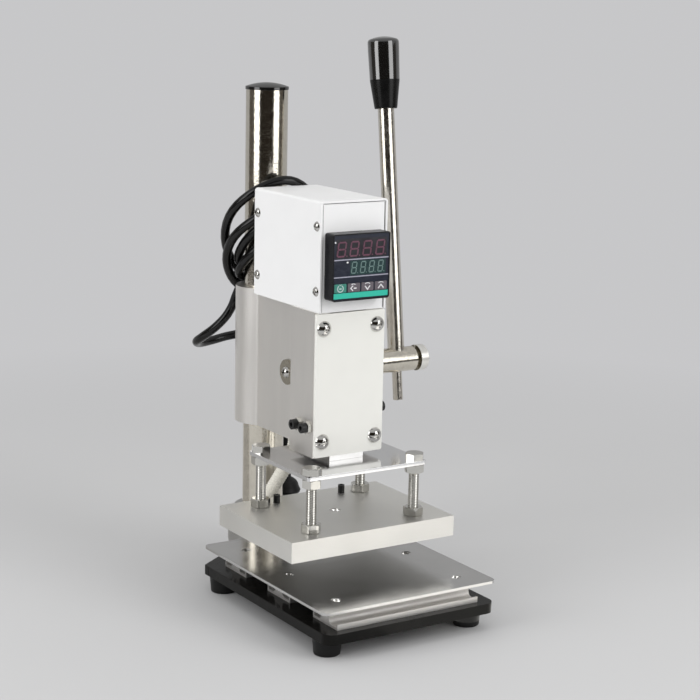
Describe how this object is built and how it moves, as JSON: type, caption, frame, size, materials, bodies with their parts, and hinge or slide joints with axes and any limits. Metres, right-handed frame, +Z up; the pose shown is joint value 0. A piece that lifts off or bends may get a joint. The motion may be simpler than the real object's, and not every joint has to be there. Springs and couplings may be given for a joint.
{
  "type": "hot foil stamping machine",
  "caption": "Bench hot foil stamping press: hand lever drives a rack ram that lowers a heated plate onto a flat worktable, with a temperature controller box on a column.",
  "frame": {"origin": "centre of the outer box in plan, without the mains lead, at the bottom of the feet", "axes": "+Z up along the column, +X to the operator's right towards the lever, +Y from the operator to the back"},
  "size_m": [0.179, 0.2965, 0.4154],
  "materials": {
    "black_paint": "satin black powder coat",
    "rubber_black": "moulded black rubber",
    "zinc_steel": "zinc plated steel",
    "polished_steel": "polished plated dome heads",
    "nickel": "satin nickel plated",
    "machined_steel": "ground tool steel",
    "black_oxide": "black oxide socket screws",
    "gloss_black": "glossy black phenolic",
    "aluminium_satin": "satin extruded and machined aluminium",
    "aluminium_brushed": "brushed sheet",
    "white_paint": "white powder coat",
    "bronze": "plain bearing bronze",
    "black_plastic": "moulded black plastic",
    "fascia_film": "dark display film",
    "key_teal": "printed key film",
    "key_grey": "printed key film",
    "cord_black": "black cord jacket",
    "blade_brass": "plain brass",
    "heater_steel": "bright cartridge sheath",
    "sleeve_white": "cream heat resistant sleeve"
  },
  "bodies": {
    "stand": {"base_plate": "black_paint", "base_feet": "rubber_black", "foot_screws": "zinc_steel", "column_flange": "machined_steel", "flange_screws": "zinc_steel", "column": "nickel", "column_cap": "gloss_black", "flange_grub_screw": "black_oxide", "rail_front": "aluminium_satin", "rail_middle": "aluminium_satin", "rail_rear": "aluminium_satin", "rail_screws": "zinc_steel", "worktable": "aluminium_brushed", "worktable_screws": "zinc_steel"},
    "head": {"head_body": "aluminium_satin", "clamp_screws": "black_oxide", "front_cover": "white_paint", "front_cover_screws": "polished_steel", "gib_strip": "bronze", "gib_screws": "black_oxide", "gib_nuts": "zinc_steel", "shaft_bushes": "bronze", "box_chassis": "white_paint", "box_cover": "white_paint", "box_screws": "polished_steel", "controller_case": "black_plastic", "controller_bezel": "black_plastic", "controller_fascia": "fascia_film", "switch_frame": "black_plastic", "cord_gland": "black_plastic", "cord_hank": "cord_black", "cord_tail": "cord_black", "mains_plug": "black_plastic", "plug_blades": "blade_brass"},
    "lever": {"pinion_shaft": "nickel", "pinion_gear": "machined_steel", "shaft_washer": "zinc_steel", "shaft_screw": "zinc_steel", "lever_rod": "nickel", "lever_grip": "gloss_black"},
    "ram": {"ram_block": "machined_steel", "ram_rack": "machined_steel", "rack_screws": "black_oxide", "ram_screws": "zinc_steel", "hanger_plate": "aluminium_satin", "hanger_bolts": "zinc_steel", "hanger_nuts": "zinc_steel", "heater_plate": "aluminium_satin", "heater_cartridges": "heater_steel", "cartridge_screws": "black_oxide", "plate_screw": "zinc_steel", "heater_sleeve": "sleeve_white"},
    "set_key": {"key_set": "key_teal"},
    "shift_key": {"key_shift": "key_grey"},
    "down_key": {"key_down": "key_grey"},
    "up_key": {"key_up": "key_grey"},
    "power_rocker": {"switch_rocker": "black_plastic"}
  },
  "joints": [
    {"name": "head_height", "type": "slide", "parent": "stand", "child": "head", "axis": [0, 0, 1], "range_m": [0, 0.14]},
    {"name": "lever_swing", "type": "hinge", "parent": "head", "child": "lever", "pos_m": [-0.0165, 0.0305, 0.1692], "axis": [1, 0, 0], "range_deg": [0, 52.5]},
    {"name": "ram_press", "type": "slide", "parent": "head", "child": "ram", "axis": [0, 0, 1], "range_m": [-0.0203, 0], "deforming": ["heater_sleeve"]},
    {"name": "set_key_press", "type": "slide", "parent": "head", "child": "set_key", "axis": [0, 1, 0], "range_m": [0, 0.0004], "stiffness_N_per_m": 600, "springref_m": -0.0003},
    {"name": "shift_key_press", "type": "slide", "parent": "head", "child": "shift_key", "axis": [0, 1, 0], "range_m": [0, 0.0004], "stiffness_N_per_m": 600, "springref_m": -0.0003},
    {"name": "down_key_press", "type": "slide", "parent": "head", "child": "down_key", "axis": [0, 1, 0], "range_m": [0, 0.0004], "stiffness_N_per_m": 600, "springref_m": -0.0003},
    {"name": "up_key_press", "type": "slide", "parent": "head", "child": "up_key", "axis": [0, 1, 0], "range_m": [0, 0.0004], "stiffness_N_per_m": 600, "springref_m": -0.0003},
    {"name": "power_rock", "type": "hinge", "parent": "head", "child": "power_rocker", "pos_m": [0.0095, 0.0413, 0.2688], "axis": [0, 1, 0], "range_deg": [-14, 0]}
  ],
  "couplings": [
    {"joint": "ram_press", "follows": "lever_swing", "m_per_rad": -0.022}
  ]
}
